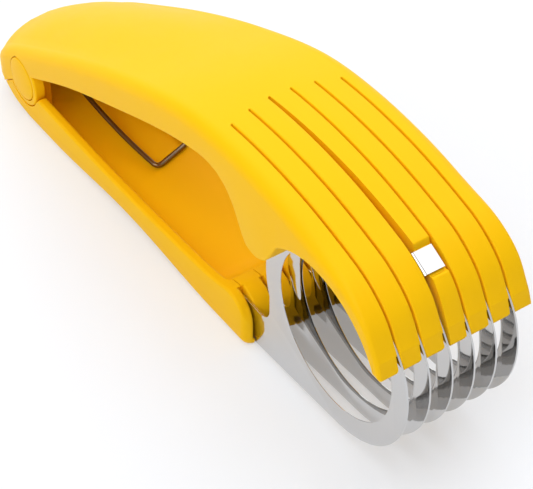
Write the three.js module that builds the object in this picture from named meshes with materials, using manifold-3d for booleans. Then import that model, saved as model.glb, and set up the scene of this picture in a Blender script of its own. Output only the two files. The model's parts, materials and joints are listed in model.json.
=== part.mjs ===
// Squeeze-handle banana slicer: two hinged handles, six ring blades and a wire return spring.
// Millimetres. X runs forward from the hinge axis, Y across the handles, Z up from the table.
import * as THREE from 'three';
import { mergeVertices } from 'three/addons/utils/BufferGeometryUtils.js';
import Module from 'manifold-3d';

const wasm = await Module();
wasm.setup();

// Ring blades
const BLADE_COUNT = 6;
const BLADE_PITCH = 6.3;
const BLADE_THICKNESS = 0.5;
const RING_BORE = 44;
const RING_BAND = 6;
const EDGE_GRIND = 0.5;
const RING_REACH = 146; // hinge axis to ring centre, along X
const RING_HEIGHT = 32; // ring centre above the table
const NECK_BACK = 26.5; // ring centre to the rear edge of the neck
const NOTCH_RADIUS = 4.5;
const TANG_TOP = 13;
const TANG_BOTTOM = 0.8;
const TANG_BITE = 6.8; // length of the tang inside the lower handle
const ROD_DIAMETER = 1.9;

// Stop tab, folded from the outer edge of one middle blade
const TAB_BLADE = 2;
const TAB_ANGLE = 64.7; // degrees round the ring, from the front
const TAB_LENGTH = 5.9;
const TAB_REACH = 5.7; // from the middle of its blade, across the finger
const TAB_RISE = 1.5; // outer face of the tab above the ring's outer edge
const TAB_FRONT_GAP = 0.7;
const STOP_RELIEF = 1.1; // extra slot width beside the tab

// Upper handle
const UPPER_WALL = 3;
const OUTER_FINGER = 5.5;
const SLOT_WIDTH = 1;
const SLOT_REAR = 46.3; // ring centre back to the rear end of the middle slots
const SLOT_BOW = 3.2; // rear ends of the outer slots ahead of the middle ones
const ARCH_COVER = 2.4; // finger arch outside the ring bore
const FINGER_DEPTH = 8.5; // fingers behind the arch
const LOBE_ANGLE = 130; // degrees round the ring where the outer fingers' lobes begin
const TIP_ANGLE = 26.5; // degrees round the ring where the finger tips end
const CREASE_ANGLE = 32; // degrees round the ring where the finger tips narrow
const TIP_INSET = 0.25;
const NOSE_COVER = 2.3; // top of the fingers outside the ring's outer edge
const GRIP_RISE = 51.8; // hinge axis to the highest part of the top edges
const CROWN = 0.8; // middle of the top above its edges, on the fingers
const REAR_CROWN = 5.1; // the same behind the hinge
const EDGE_RADIUS = 4;
const NOSE_EDGE_RADIUS = 1.2;
const REAR_REACH = 27; // hinge axis to the rear end
const REAR_STRAIGHT = 9.5; // straight sides run on this far behind the hinge axis
const REAR_FULLNESS = 2.3; // exponent of the rounded rear end, seen from above
const REAR_TIP = 0.4; // least half width of a section at the very rear

// Lower handle
const LOWER_WALL = 3;
const FLOOR = 3;
const RIM_HEIGHT = 11.3;
const RIDGE_HEIGHT = 15.2;
const NOSE_RADIUS = 7.8;
const RIDGE_BACK = 10; // front face back to the top of the trough's ramp
const RAMP = 15; // length of the ramp
const FRONT_REACH = 113.3; // hinge axis to the front face
const SOLE_ARCH = 2.3;
const SOLE_LIFT = 9; // how far the underside would climb over the run behind the hinge
const SOLE_LIFT_RUN = 18.8;
const SOLE_LIFT_FROM = 2;
const SOLE_EDGE = 3;
const FLOOR_EDGE = 4;
const REAR_LAND = 15; // hinge axis to the front end of the rear resting land
const FRONT_LAND = 14; // length of the front resting land
const FRONT_EDGE = 2.2; // upright front corners, seen from above

// Hinge
const HINGE_HEIGHT = 14.5;
const KNUCKLE_RADIUS = 8.3;
const SEAM_ANGLE = 215; // degrees, direction of the seam behind the hinge
const SEAM_REACH = 14.6; // hinge axis to the lower end of the seam
const PIN_DIAMETER = 4;
const CAP_RADIUS = 6.5;
const CAP_DEPTH = 1.2;
const CAP_DOME = 0.6;
const EAR_RADIUS = 4;
const EAR_WIDTH = 2.6;
const EAR_SETBACK = 1.6; // ears inside the walls of the upper handle

// Return spring
const WIRE_DIAMETER = 1.4;
const COIL_RADIUS = 3.9;
const COIL_PITCH = 2.1;
const COIL_TURNS = 3; // whole turns in each coil
const COIL_STEPS = 8; // steps in a turn
const WIRE_SIDES = 5;
const LEG_OFFSET = 10.7; // outer end of each coil, from the spring's middle
const BAIL_REACH = 44.4;
const BAIL_HALF_WIDTH = 6;
const BAIL_SKEW = 2.2; // near corner of the bail ahead of its middle
const BAIL_BEND = 2.5;
const TAIL_REACH = 19;
const SPRING_SHIFT = 1.2; // play of the spring along the pin

// Clearances
const GAP = 0.3; // between pieces that seat on each other
const PAST = 40; // how far a cutting tool runs past what it cuts

// Sizes that follow from the ones above
const BORE_RADIUS = RING_BORE / 2;
const RING_RADIUS = BORE_RADIUS + RING_BAND;
const ARCH_RADIUS = BORE_RADIUS + ARCH_COVER;
const OUTER_BLADE_Y = ((BLADE_COUNT - 1) / 2) * BLADE_PITCH;
const FINGER_INNER_Y = OUTER_BLADE_Y + SLOT_WIDTH / 2;
const HALF_WIDTH = FINGER_INNER_Y + OUTER_FINGER;
const SLIT_WIDTH = BLADE_THICKNESS + 2 * GAP;
const FRONT_HALF_WIDTH = OUTER_BLADE_Y + SLIT_WIDTH / 2 + LOWER_WALL;
const KNUCKLE_INNER_Y = HALF_WIDTH - UPPER_WALL;
const EAR_OUTER_Y = KNUCKLE_INNER_Y - EAR_SETBACK;
const SLOT_REAR_X = RING_REACH - SLOT_REAR;
const TANG_REAR_X = FRONT_REACH - TANG_BITE;
const ROD_BLIND_Y = -OUTER_BLADE_Y - (LOWER_WALL * 2) / 3;
const WIRE_RADIUS = WIRE_DIAMETER / 2;
const REAR_X = -REAR_REACH;
const FRONT_X = RING_REACH + RING_RADIUS;

const YELLOW = 0xf6c81e;
const PLASTIC = { color: YELLOW, roughness: 0.38, metalness: 0 };
const BLADE_STEEL = { color: 0xd4d4d2, roughness: 0.12, metalness: 1 };
const SPRING_STEEL = { color: 0x9a948c, roughness: 0.25, metalness: 1 };

const slicer = new THREE.Group();

// Small helpers

const radians = (degrees) => THREE.MathUtils.degToRad(degrees);
const point = (x, z) => new THREE.Vector2(x, z);
const around = (centre, radius, degrees) =>
  point(centre.x + radius * Math.cos(radians(degrees)), centre.y + radius * Math.sin(radians(degrees)));

const HINGE = point(0, HINGE_HEIGHT);
const RING = point(RING_REACH, RING_HEIGHT);
const ROD = point(FRONT_REACH - TANG_BITE / 2, (TANG_TOP + TANG_BOTTOM) / 2);
const SEAM_END = around(HINGE, SEAM_REACH, SEAM_ANGLE);

function arc(centre, radius, from, to, steps) {
  const points = [];
  for (let i = 0; i <= steps; i += 1) points.push(around(centre, radius, from + ((to - from) * i) / steps));
  return points;
}

function spline(points, steps) {
  const path = points.map((p) => new THREE.Vector3(p.x, 0, p.y));
  const curve = new THREE.CatmullRomCurve3(path, false, 'centripetal');
  return curve.getSpacedPoints(steps).map((p) => point(p.x, p.z));
}

function heightAt(outline, x) {
  const next = outline.findIndex((p) => p.x >= x);
  if (next <= 0) return outline.at(next).y;
  const before = outline[next - 1];
  const after = outline[next];
  return before.y + ((after.y - before.y) * (x - before.x)) / (after.x - before.x);
}

function solid(geometry) {
  const bare = new THREE.BufferGeometry();
  bare.setAttribute('position', geometry.getAttribute('position'));
  if (geometry.index) bare.setIndex(geometry.index);
  const merged = mergeVertices(bare, 1e-5);
  const mesh = new wasm.Mesh({
    numProp: 3,
    vertProperties: new Float32Array(merged.getAttribute('position').array),
    triVerts: new Uint32Array(merged.index.array),
  });
  return new wasm.Manifold(mesh);
}

function geometryOf(body) {
  const mesh = body.getMesh();
  const geometry = new THREE.BufferGeometry();
  geometry.setAttribute('position', new THREE.BufferAttribute(new Float32Array(mesh.vertProperties), 3));
  geometry.setIndex(new THREE.BufferAttribute(new Uint32Array(mesh.triVerts), 1));
  geometry.computeVertexNormals();
  return geometry;
}

// A side outline in X and Z, carried across from yLow to yHigh.
function slab(outline, yLow, yHigh) {
  const shape = new THREE.Shape(outline);
  const geometry = new THREE.ExtrudeGeometry(shape, { depth: yHigh - yLow, bevelEnabled: false });
  geometry.rotateX(Math.PI / 2);
  geometry.translate(0, yHigh, 0);
  return solid(geometry);
}

// A plan outline in X and Y, carried up from zLow to zHigh.
function plate(outline, zLow, zHigh) {
  const shape = new THREE.Shape(outline);
  const geometry = new THREE.ExtrudeGeometry(shape, { depth: zHigh - zLow, bevelEnabled: false });
  geometry.translate(0, 0, zLow);
  return solid(geometry);
}

function box(xLow, xHigh, yLow, yHigh, zLow, zHigh) {
  const geometry = new THREE.BoxGeometry(xHigh - xLow, yHigh - yLow, zHigh - zLow);
  geometry.translate((xLow + xHigh) / 2, (yLow + yHigh) / 2, (zLow + zHigh) / 2);
  return solid(geometry);
}

function roundBar(centre, radius, yLow, yHigh, sides = 32) {
  const geometry = new THREE.CylinderGeometry(radius, radius, yHigh - yLow, sides);
  geometry.translate(centre.x, (yLow + yHigh) / 2, centre.y);
  return solid(geometry);
}

// A skin through closed sections with the same number of points, capped at both ends.
function loft(sections) {
  const count = sections[0].length;
  const positions = sections.flat().flatMap((p) => [p.x, p.y, p.z]);
  const triangles = [];
  for (let s = 0; s + 1 < sections.length; s += 1) {
    for (let i = 0; i < count; i += 1) {
      const j = (i + 1) % count;
      const a = s * count + i;
      const b = s * count + j;
      triangles.push(a, b, a + count, b, b + count, a + count);
    }
  }
  [0, sections.length - 1].forEach((s) => {
    const middle = positions.length / 3;
    const centre = new THREE.Vector3();
    sections[s].forEach((p) => centre.addScaledVector(p, 1 / count));
    positions.push(centre.x, centre.y, centre.z);
    for (let i = 0; i < count; i += 1) {
      const a = s * count + i;
      const b = s * count + ((i + 1) % count);
      triangles.push(...(s === 0 ? [middle, b, a] : [middle, a, b]));
    }
  });
  const geometry = new THREE.BufferGeometry();
  geometry.setAttribute('position', new THREE.Float32BufferAttribute(positions, 3));
  geometry.setIndex(triangles);
  return solid(geometry);
}

function addPiece(name, body, material) {
  const mesh = new THREE.Mesh(geometryOf(body), new THREE.MeshStandardMaterial(material));
  mesh.name = name;
  slicer.add(mesh);
}

const bladeY = (index) => (index - (BLADE_COUNT - 1) / 2) * BLADE_PITCH;
const bothSides = (makeBody) => makeBody(-1).add(makeBody(1));
const between = (a, b) => [Math.min(a, b), Math.max(a, b)];

// Upper handle: top line, lower edge and the two skins

// Points of the side outlines, as shares of the handle's reach and rise and of the ring's size.
const alongGrip = (reach, rise) => point(RING_REACH * reach, HINGE_HEIGHT + GRIP_RISE * rise);
const overRing = (cover, degrees) => around(RING, RING_RADIUS + NOSE_COVER * cover, degrees);
const behindRing = (back, rise) => point(RING_REACH - RING_RADIUS * back, RING_HEIGHT + RING_RADIUS * rise);

const CREASE = overRing(-0.22, CREASE_ANGLE);
const TIP_FRONT = overRing(-0.39, TIP_ANGLE - 3.5);

// Side view of the top edges, from the rear end to the finger tips.
function makeTopLine() {
  const shaped = spline([
    point(REAR_X, HINGE_HEIGHT - GRIP_RISE * 0.126),
    alongGrip(-0.0685, 0.094),
    alongGrip(0.062, 0.295),
    alongGrip(0.233, 0.541),
    alongGrip(0.411, 0.761),
    alongGrip(0.616, 0.956),
    alongGrip(0.753, 1),
    overRing(3.7, 114),
    overRing(1, 87),
    overRing(0.61, 68),
    overRing(0.3, 50),
    CREASE,
  ], 44);
  return [...shaped, TIP_FRONT, around(RING, RING_RADIUS, TIP_ANGLE - 14)];
}

const TOP_LINE = makeTopLine();

// Half width of the handles at x: full along the grip, rounded off behind the hinge.
function halfWidthAt(x, full, rearX) {
  const start = -REAR_STRAIGHT;
  if (x >= start) return full;
  const share = Math.min(1, (start - x) / (start - rearX));
  return Math.max(REAR_TIP, full * (1 - share ** REAR_FULLNESS) ** (1 / REAR_FULLNESS));
}

// Radius of the top edges at x, small at the finger tips.
function edgeRadiusAt(x) {
  const nose = THREE.MathUtils.smoothstep(x, RING_REACH * 0.966, RING_REACH + BORE_RADIUS);
  return THREE.MathUtils.lerp(EDGE_RADIUS, NOSE_EDGE_RADIUS, nose);
}

// Height of the domed top over its edges at x and y.
function domeAt(x, y) {
  const fade = THREE.MathUtils.smoothstep(x, 0, RING_REACH * 0.473);
  const share = Math.min(1, Math.abs(y) / (HALF_WIDTH - edgeRadiusAt(x)));
  return THREE.MathUtils.lerp(REAR_CROWN, CROWN, fade) * (1 - share ** 2);
}

// One skin of the upper handle: top line and plan moved in by inset, joined by rounded top edges.
function upperSkin(inset, xHigh) {
  const rearX = REAR_X + inset;
  const rearRadius = edgeRadiusAt(rearX) - inset;
  const topAt = (x) => heightAt(TOP_LINE, x) - inset;
  const rear = [14, 30, 48, 68, 90].map((turn) => rearX + rearRadius * (1 - Math.cos(radians(turn))));
  const rounded = stationsFrom(rear.at(-1), -REAR_STRAIGHT, 6).slice(1);
  const inside = TOP_LINE.filter((p) => p.x > 1 - REAR_STRAIGHT && p.x < xHigh - 0.2).map((p) => p.x);
  const sections = [...rear, ...rounded, ...inside, xHigh].map((x) => {
    const step = 0.4;
    const slope = (topAt(x + step) - topAt(x - step)) / (2 * step);
    const lean = x < RING_REACH * 0.7 ? 1 : Math.min(2.2, Math.hypot(1, slope));
    const radius = edgeRadiusAt(x) - inset;
    const sweep = x < rearX + radius ? Math.acos(1 - (x - rearX) / radius) : Math.PI / 2;
    const edge = arc(point(0, 0), 1, 0, THREE.MathUtils.radToDeg(sweep), 6).map((p) => {
      const inward = radius * (1 - p.x);
      const y = halfWidthAt(x, HALF_WIDTH - inset - inward, rearX + inward);
      return [y, topAt(x) - radius * lean * (1 - p.y) + domeAt(x, y)];
    });
    const [flat, shoulder] = edge.at(-1);
    const crown = [0.8, 0.55, 0.25].map((share) => {
      const y = flat * share;
      return [y, shoulder - domeAt(x, flat) + domeAt(x, y)];
    });
    const rightHalf = [[edge[0][0], -PAST], ...edge, ...crown];
    const leftHalf = rightHalf.map(([y, z]) => [-y, z]).reverse();
    return [...rightHalf, ...leftHalf].map(([y, z]) => new THREE.Vector3(x, y, z));
  });
  return loft(sections);
}

// Everything above the lower edge of the upper handle, seen from the side.
function upperOutline() {
  const grip = spline([
    around(HINGE, KNUCKLE_RADIUS, 34),
    alongGrip(0.198, 0.305),
    alongGrip(0.39, 0.531),
    alongGrip(0.555, 0.7085),
    behindRing(1.786, 0.839),
    behindRing(1.607, 0.864),
    behindRing(1.443, 0.843),
  ], 20);
  const lobe = spline([
    grip.at(-1),
    behindRing(1.318, 0.779),
    behindRing(1.211, 0.668),
    behindRing(1.068, 0.425),
    behindRing(1.004, 0.354),
    behindRing(0.896, 0.329),
    behindRing(0.811, 0.346),
    behindRing(0.736, 0.386),
    behindRing(0.671, 0.471),
    around(RING, ARCH_RADIUS, LOBE_ANGLE),
  ], 20);
  const ceiling = RING_HEIGHT + 2 * PAST;
  return [
    SEAM_END,
    point(REAR_X - 1, SEAM_END.y),
    point(REAR_X - 1, ceiling),
    point(FRONT_X + PAST, ceiling),
    point(FRONT_X + PAST, TIP_FRONT.y),
    TIP_FRONT,
    ...arc(RING, ARCH_RADIUS, TIP_ANGLE, LOBE_ANGLE, 22),
    ...lobe.reverse().slice(1),
    ...grip.reverse().slice(1),
    ...arc(HINGE, KNUCKLE_RADIUS, 34, SEAM_ANGLE - 360, 22).slice(1),
  ];
}

// The space under the inner fingers, between the two outer ones.
function underFingers() {
  const bottom = RING_HEIGHT - BORE_RADIUS;
  const rear = SLOT_REAR_X - FINGER_DEPTH;
  const depthAt = (x) => point(x, heightAt(TOP_LINE, x) - FINGER_DEPTH);
  const back = spline([
    point(rear, heightAt(TOP_LINE, rear) - FINGER_DEPTH * 0.6),
    depthAt(SLOT_REAR_X + FINGER_DEPTH / 2),
    depthAt(RING_REACH - RING_RADIUS * 0.9),
    around(RING, ARCH_RADIUS, LOBE_ANGLE - 5),
  ], 8);
  const outline = [
    point(rear, bottom),
    ...back,
    ...arc(RING, ARCH_RADIUS, LOBE_ANGLE - 8, TIP_ANGLE, 20),
    point(FRONT_X, bottom),
  ];
  return slab(outline, -FINGER_INNER_Y, FINGER_INNER_Y);
}

// A point beside the stop tab: along it towards the rear, and out from the ring's centre.
function tabPoint(along, radius) {
  const back = radians(TAB_ANGLE) + Math.PI / 2;
  return around(RING, radius, TAB_ANGLE).add(point(along * Math.cos(back), along * Math.sin(back)));
}

// Room for the stop tab to lie in its finger and to leave it as the handles close.
function tabPocket() {
  const floor = RING_RADIUS + TAB_RISE - BLADE_THICKNESS - GAP;
  const rear = TAB_LENGTH / 2 + GAP;
  const front = -TAB_LENGTH / 2 - TAB_FRONT_GAP;
  const outline = [
    tabPoint(rear, floor),
    tabPoint(rear + PAST, floor + PAST),
    tabPoint(front, floor + PAST),
    tabPoint(front, floor),
  ];
  const y = bladeY(TAB_BLADE);
  return slab(outline, y, y + BLADE_PITCH);
}

// The slot beside the tab opens out towards the tab and closes again at the tip.
function tabRelief() {
  const y = bladeY(TAB_BLADE);
  const edge = y + SLOT_WIDTH / 2;
  const tabX = RING_REACH + RING_RADIUS * Math.cos(radians(TAB_ANGLE));
  const outline = [
    point(SLOT_REAR_X, y),
    point(FRONT_X, y),
    point(FRONT_X, edge + TIP_INSET),
    point(tabX, edge + STOP_RELIEF),
    point(SLOT_REAR_X, edge),
  ];
  return plate(outline, RING_HEIGHT, RING_HEIGHT + PAST);
}

function upperHandle() {
  const hollowFront = SLOT_REAR_X - FINGER_DEPTH + 1;
  const outer = upperSkin(0, TOP_LINE.at(-1).x);
  let body = outer.intersect(slab(upperOutline(), -HALF_WIDTH - 1, HALF_WIDTH + 1));
  const rearFloor = box(REAR_X, SEAM_END.x, -HALF_WIDTH, HALF_WIDTH, -2 * PAST, SEAM_END.y + UPPER_WALL);
  body = body.subtract(upperSkin(UPPER_WALL, hollowFront).subtract(rearFloor));
  body = body.subtract(underFingers());
  const beyondTip = [
    around(RING, BORE_RADIUS, CREASE_ANGLE - 0.5),
    around(RING, RING_RADIUS + NOSE_COVER, CREASE_ANGLE + 0.2),
    around(RING, RING_RADIUS + NOSE_COVER, TIP_ANGLE / 3),
    around(RING, BORE_RADIUS, TIP_ANGLE / 3),
  ];
  for (let i = 0; i < BLADE_COUNT; i += 1) {
    const y = bladeY(i);
    const half = SLOT_WIDTH / 2;
    const rear = SLOT_REAR_X + SLOT_BOW * (y / OUTER_BLADE_Y) ** 2;
    const slot = [
      ...arc(point(rear + half, y), half, 90, 270, 6),
      point(FRONT_X + 1, y - half),
      point(FRONT_X + 1, y + half),
    ];
    body = body.subtract(plate(slot, 0, RING_HEIGHT + PAST));
    body = body.subtract(slab(beyondTip, y - half - TIP_INSET, y + half + TIP_INSET));
  }
  body = body.subtract(tabPocket());
  body = body.subtract(tabRelief());
  const pinHole = roundBar(HINGE, PIN_DIAMETER / 2 + GAP, -HALF_WIDTH - 1, HALF_WIDTH + 1, 24);
  const capSeat = (side) => {
    const [low, high] = between(side * (HALF_WIDTH - CAP_DEPTH - GAP), side * (HALF_WIDTH + 2));
    return roundBar(HINGE, CAP_RADIUS + GAP, low, high, 40);
  };
  return body.subtract(pinHole).subtract(bothSides(capSeat));
}

// Lower handle: a shallow trough with resting lands, hinge ears and the slit block for the blades

function soleAt(x) {
  const lift = THREE.MathUtils.clamp((SOLE_LIFT_FROM - x) / SOLE_LIFT_RUN, 0, 1);
  const span = FRONT_REACH - FRONT_LAND - REAR_LAND;
  const share = THREE.MathUtils.clamp((x - REAR_LAND) / span, 0, 1);
  return SOLE_LIFT * lift ** 1.4 + SOLE_ARCH * Math.sin(Math.PI * share) ** 2;
}

// The sides taper a little towards the front and end in rounded corners.
function lowerHalfWidthAt(x) {
  const share = THREE.MathUtils.clamp(x / FRONT_REACH, 0, 1);
  const turn = THREE.MathUtils.clamp(1 - (FRONT_REACH - x) / FRONT_EDGE, 0, 1);
  const corner = FRONT_EDGE * (1 - Math.sqrt(1 - turn ** 2));
  return halfWidthAt(x, THREE.MathUtils.lerp(HALF_WIDTH, FRONT_HALF_WIDTH, share), REAR_X) - corner;
}

// A trough-shaped skin: stations of [x, half width, bottom], with rounded bottom edges.
function troughSkin(stations, edge) {
  const top = RIDGE_HEIGHT + PAST;
  const sections = stations.map(([x, half, bottom]) => {
    const round = Math.min(edge, half / 2);
    const corner = arc(point(0, 0), 1, -90, 0, 5);
    const right = corner.map((p) => [half - round + round * p.x, bottom + round + round * p.y]);
    const rightHalf = [...right, [half, top]];
    const leftHalf = rightHalf.map(([y, z]) => [-y, z]).reverse();
    return [...leftHalf, ...rightHalf].map(([y, z]) => new THREE.Vector3(x, y, z));
  });
  return loft(sections);
}

function stationsFrom(low, high, count) {
  return Array.from({ length: count + 1 }, (unused, i) => low + ((high - low) * i) / count);
}

// Everything below the rim, the ridge and the seam, seen from the side.
function lowerOutline() {
  const seam = radians(SEAM_ANGLE);
  const drop = point(-GAP * Math.sin(seam), GAP * Math.cos(seam));
  const seamFar = around(HINGE, PAST, SEAM_ANGLE).add(drop);
  const noseCentre = point(FRONT_REACH - NOSE_RADIUS, RIDGE_HEIGHT - NOSE_RADIUS);
  const rim = spline([
    point(noseCentre.x, RIDGE_HEIGHT),
    point(FRONT_REACH * 0.859, RIM_HEIGHT * 1.2),
    point(FRONT_REACH * 0.735, RIM_HEIGHT * 1.1),
    point(FRONT_REACH * 0.387, RIM_HEIGHT),
    point(KNUCKLE_RADIUS, RIM_HEIGHT * 1.08),
  ], 16);
  return [
    seamFar,
    point(seamFar.x, -PAST),
    point(FRONT_REACH, -PAST),
    ...arc(noseCentre, NOSE_RADIUS, 0, 90, 8),
    ...rim.slice(1),
    point(0, RIM_HEIGHT * 1.08),
    HINGE.clone().add(drop),
  ];
}

function floorAt(x) {
  const rampX = FRONT_REACH - RIDGE_BACK - RAMP;
  const climb = THREE.MathUtils.clamp((x - rampX) / RAMP, 0, 1);
  return THREE.MathUtils.lerp(soleAt(x) + FLOOR, RIDGE_HEIGHT + 1, climb ** 2);
}

function lowerHandle() {
  const outerStations = [
    ...stationsFrom(SOLE_LIFT_FROM - SOLE_LIFT_RUN, SOLE_LIFT_FROM, 10),
    ...stationsFrom(REAR_LAND, FRONT_REACH - FRONT_LAND, 14),
    ...[0, 0.45, 0.75, 0.93, 1].map((turn) => FRONT_REACH - FRONT_EDGE * (1 - turn)),
    FRONT_REACH + 1,
  ].map((x) => [x, lowerHalfWidthAt(x), soleAt(x)]);
  const troughRear = -KNUCKLE_RADIUS;
  const troughStations = [
    ...stationsFrom(troughRear, REAR_LAND, 3),
    ...stationsFrom(REAR_LAND + RAMP / 3, FRONT_REACH - RIDGE_BACK - RAMP, 10),
    ...stationsFrom(FRONT_REACH - RIDGE_BACK - RAMP * 0.9, FRONT_REACH - RIDGE_BACK, 8),
  ].map((x) => [x, lowerHalfWidthAt(x) - LOWER_WALL, floorAt(x)]);
  let body = troughSkin(outerStations, SOLE_EDGE);
  body = body.intersect(slab(lowerOutline(), -HALF_WIDTH - 1, HALF_WIDTH + 1));
  body = body.subtract(troughSkin(troughStations, FLOOR_EDGE));
  const knuckleSeat = (side) => {
    const [low, high] = between(side * (KNUCKLE_INNER_Y - GAP), side * (HALF_WIDTH + 1));
    return roundBar(HINGE, KNUCKLE_RADIUS + GAP, low, high, 48);
  };
  body = body.subtract(bothSides(knuckleSeat));
  const ear = (side) => {
    const [low, high] = between(side * EAR_OUTER_Y, side * (EAR_OUTER_Y - EAR_WIDTH));
    const foot = box(-EAR_RADIUS, EAR_RADIUS, low, high, soleAt(0) + FLOOR / 2, HINGE_HEIGHT);
    return roundBar(HINGE, EAR_RADIUS, low, high, 32).add(foot);
  };
  body = body.add(bothSides(ear));
  body = body.subtract(roundBar(HINGE, PIN_DIAMETER / 2 + GAP, -HALF_WIDTH, HALF_WIDTH, 24));
  for (let i = 0; i < BLADE_COUNT; i += 1) {
    const y = bladeY(i);
    const half = SLIT_WIDTH / 2;
    body = body.subtract(box(TANG_REAR_X - GAP, FRONT_X, y - half, y + half, -1, RIDGE_HEIGHT + PAST));
  }
  return body.subtract(roundBar(ROD, ROD_DIAMETER / 2 + GAP, ROD_BLIND_Y, FRONT_HALF_WIDTH + 1, 20));
}

// Blades

function bladeOutline() {
  const neckX = RING_REACH - NECK_BACK;
  const heel = point(FRONT_REACH - 1, TANG_BOTTOM);
  const toCentre = RING.clone().sub(heel);
  const tangent = Math.atan2(toCentre.y, toCentre.x) - Math.asin(RING_RADIUS / toCentre.length());
  const from = THREE.MathUtils.radToDeg(tangent - Math.PI / 2);
  const to = 180 + THREE.MathUtils.radToDeg(Math.acos(NECK_BACK / RING_RADIUS));
  const notch = point(neckX - NOTCH_RADIUS, TANG_TOP + NOTCH_RADIUS);
  return [
    point(TANG_REAR_X, TANG_BOTTOM),
    heel,
    ...arc(RING, RING_RADIUS, from, to, 44),
    ...arc(notch, NOTCH_RADIUS, 0, -90, 6),
    point(TANG_REAR_X, TANG_TOP),
  ];
}

// The bore is ground to an edge in the middle of the blade's thickness.
function boreCutter(y) {
  const half = BLADE_THICKNESS / 2;
  const profile = [
    [0, -1],
    [BORE_RADIUS + EDGE_GRIND, -1],
    [BORE_RADIUS + EDGE_GRIND, -half],
    [BORE_RADIUS, -half / 4],
    [BORE_RADIUS, half / 4],
    [BORE_RADIUS + EDGE_GRIND, half],
    [BORE_RADIUS + EDGE_GRIND, 1],
    [0, 1],
  ].map(([radius, along]) => point(radius, along));
  const geometry = new THREE.LatheGeometry(profile, 56);
  geometry.translate(RING.x, y, RING.y);
  return solid(geometry);
}

// A lug stands out of the ring's outer edge and folds over into the flat tab.
function stopTab(y) {
  const half = BLADE_THICKNESS / 2;
  const top = RING_RADIUS + TAB_RISE;
  const strip = (low, high) => [
    tabPoint(-TAB_LENGTH / 2, low),
    tabPoint(-TAB_LENGTH / 2, high),
    tabPoint(TAB_LENGTH / 2, high),
    tabPoint(TAB_LENGTH / 2, low),
  ];
  const lug = slab(strip(RING_RADIUS - RING_BAND / 3, top), y - half, y + half);
  const tab = slab(strip(top - BLADE_THICKNESS, top), y - half, y + TAB_REACH);
  return lug.add(tab);
}

function blade(index) {
  const y = bladeY(index);
  const half = BLADE_THICKNESS / 2;
  let body = slab(bladeOutline(), y - half, y + half).subtract(boreCutter(y));
  body = body.subtract(roundBar(ROD, ROD_DIAMETER / 2 + GAP, y - 1, y + 1, 20));
  return index === TAB_BLADE ? body.add(stopTab(y)) : body;
}

// Hinge pin and its caps

function hingeCap(side) {
  const rim = HALF_WIDTH;
  const dome = arc(point(0, 0), 1, 0, 90, 6).map((p) => point(CAP_RADIUS * p.x, rim + CAP_DOME * p.y));
  const profile = [point(0, rim - CAP_DEPTH), point(CAP_RADIUS, rim - CAP_DEPTH), ...dome];
  const geometry = new THREE.LatheGeometry(profile, 40);
  if (side < 0) geometry.rotateX(Math.PI);
  geometry.translate(0, 0, HINGE_HEIGHT);
  return solid(geometry);
}

// Return spring: tail, coil and leg on each side, joined by the bail on the trough's floor

function springHalf(side) {
  const cornerX = BAIL_REACH - side * BAIL_SKEW;
  const bailZ = floorAt(cornerX) + WIRE_RADIUS + GAP;
  const roof = heightAt(TOP_LINE, TAIL_REACH) + domeAt(TAIL_REACH, LEG_OFFSET / 2) - UPPER_WALL;
  const tailZ = roof - WIRE_RADIUS - 2 * GAP;
  const reachOf = (x, z) => {
    const away = point(x, z).sub(HINGE);
    return [Math.atan2(away.y, away.x), Math.acos(COIL_RADIUS / away.length())];
  };
  const [tailBearing, tailTurn] = reachOf(TAIL_REACH, tailZ);
  const [legBearing, legTurn] = reachOf(cornerX - BAIL_BEND, bailZ);
  const start = tailBearing + tailTurn;
  const end = legBearing - legTurn + 2 * Math.PI * (COIL_TURNS + 1);
  const steps = Math.round(((end - start) / (2 * Math.PI)) * COIL_STEPS);
  const innerY = LEG_OFFSET - (COIL_PITCH * (end - start)) / (2 * Math.PI);
  const path = [new THREE.Vector3(TAIL_REACH, side * innerY, tailZ)];
  for (let i = 0; i <= steps; i += 1) {
    const turn = start + ((end - start) * i) / steps;
    const y = innerY + ((LEG_OFFSET - innerY) * i) / steps;
    const x = COIL_RADIUS * Math.cos(turn);
    path.push(new THREE.Vector3(x, side * y, HINGE_HEIGHT + COIL_RADIUS * Math.sin(turn)));
  }
  const corner = new THREE.Vector3(cornerX, side * BAIL_HALF_WIDTH, bailZ);
  const legEnd = path.at(-1);
  const before = corner.clone().add(legEnd.clone().sub(corner).setLength(BAIL_BEND));
  const after = new THREE.Vector3(BAIL_REACH, 0, floorAt(BAIL_REACH) + WIRE_RADIUS + GAP);
  const turned = corner.clone().add(after.sub(corner).setLength(BAIL_BEND));
  path.push(legEnd.clone().lerp(before, 0.5));
  path.push(...new THREE.QuadraticBezierCurve3(before, corner, turned).getPoints(4));
  return path;
}

function tube(path, radius, sides) {
  const at = (i) => path[THREE.MathUtils.clamp(i, 0, path.length - 1)].clone();
  let normal = new THREE.Vector3(0, 1, 0);
  const sections = path.map((centre, i) => {
    const along = at(i + 1).sub(at(i - 1)).normalize();
    normal = normal.clone().addScaledVector(along, -normal.dot(along)).normalize();
    const other = along.clone().cross(normal);
    return stationsFrom(0, 2 * Math.PI, sides).slice(0, sides).map((turn) => {
      const edge = centre.clone().addScaledVector(normal, radius * Math.cos(turn));
      return edge.addScaledVector(other, radius * Math.sin(turn));
    });
  });
  return loft(sections);
}

// Least distance between stretches of the wire that are more than half a turn apart along it.
function leastSelfGap(path) {
  let least = Infinity;
  for (let i = 0; i < path.length; i += 1) {
    for (let j = i + COIL_STEPS / 2 + 1; j < path.length; j += 1) {
      least = Math.min(least, path[i].distanceTo(path[j]) - WIRE_DIAMETER);
    }
  }
  return least;
}

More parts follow.
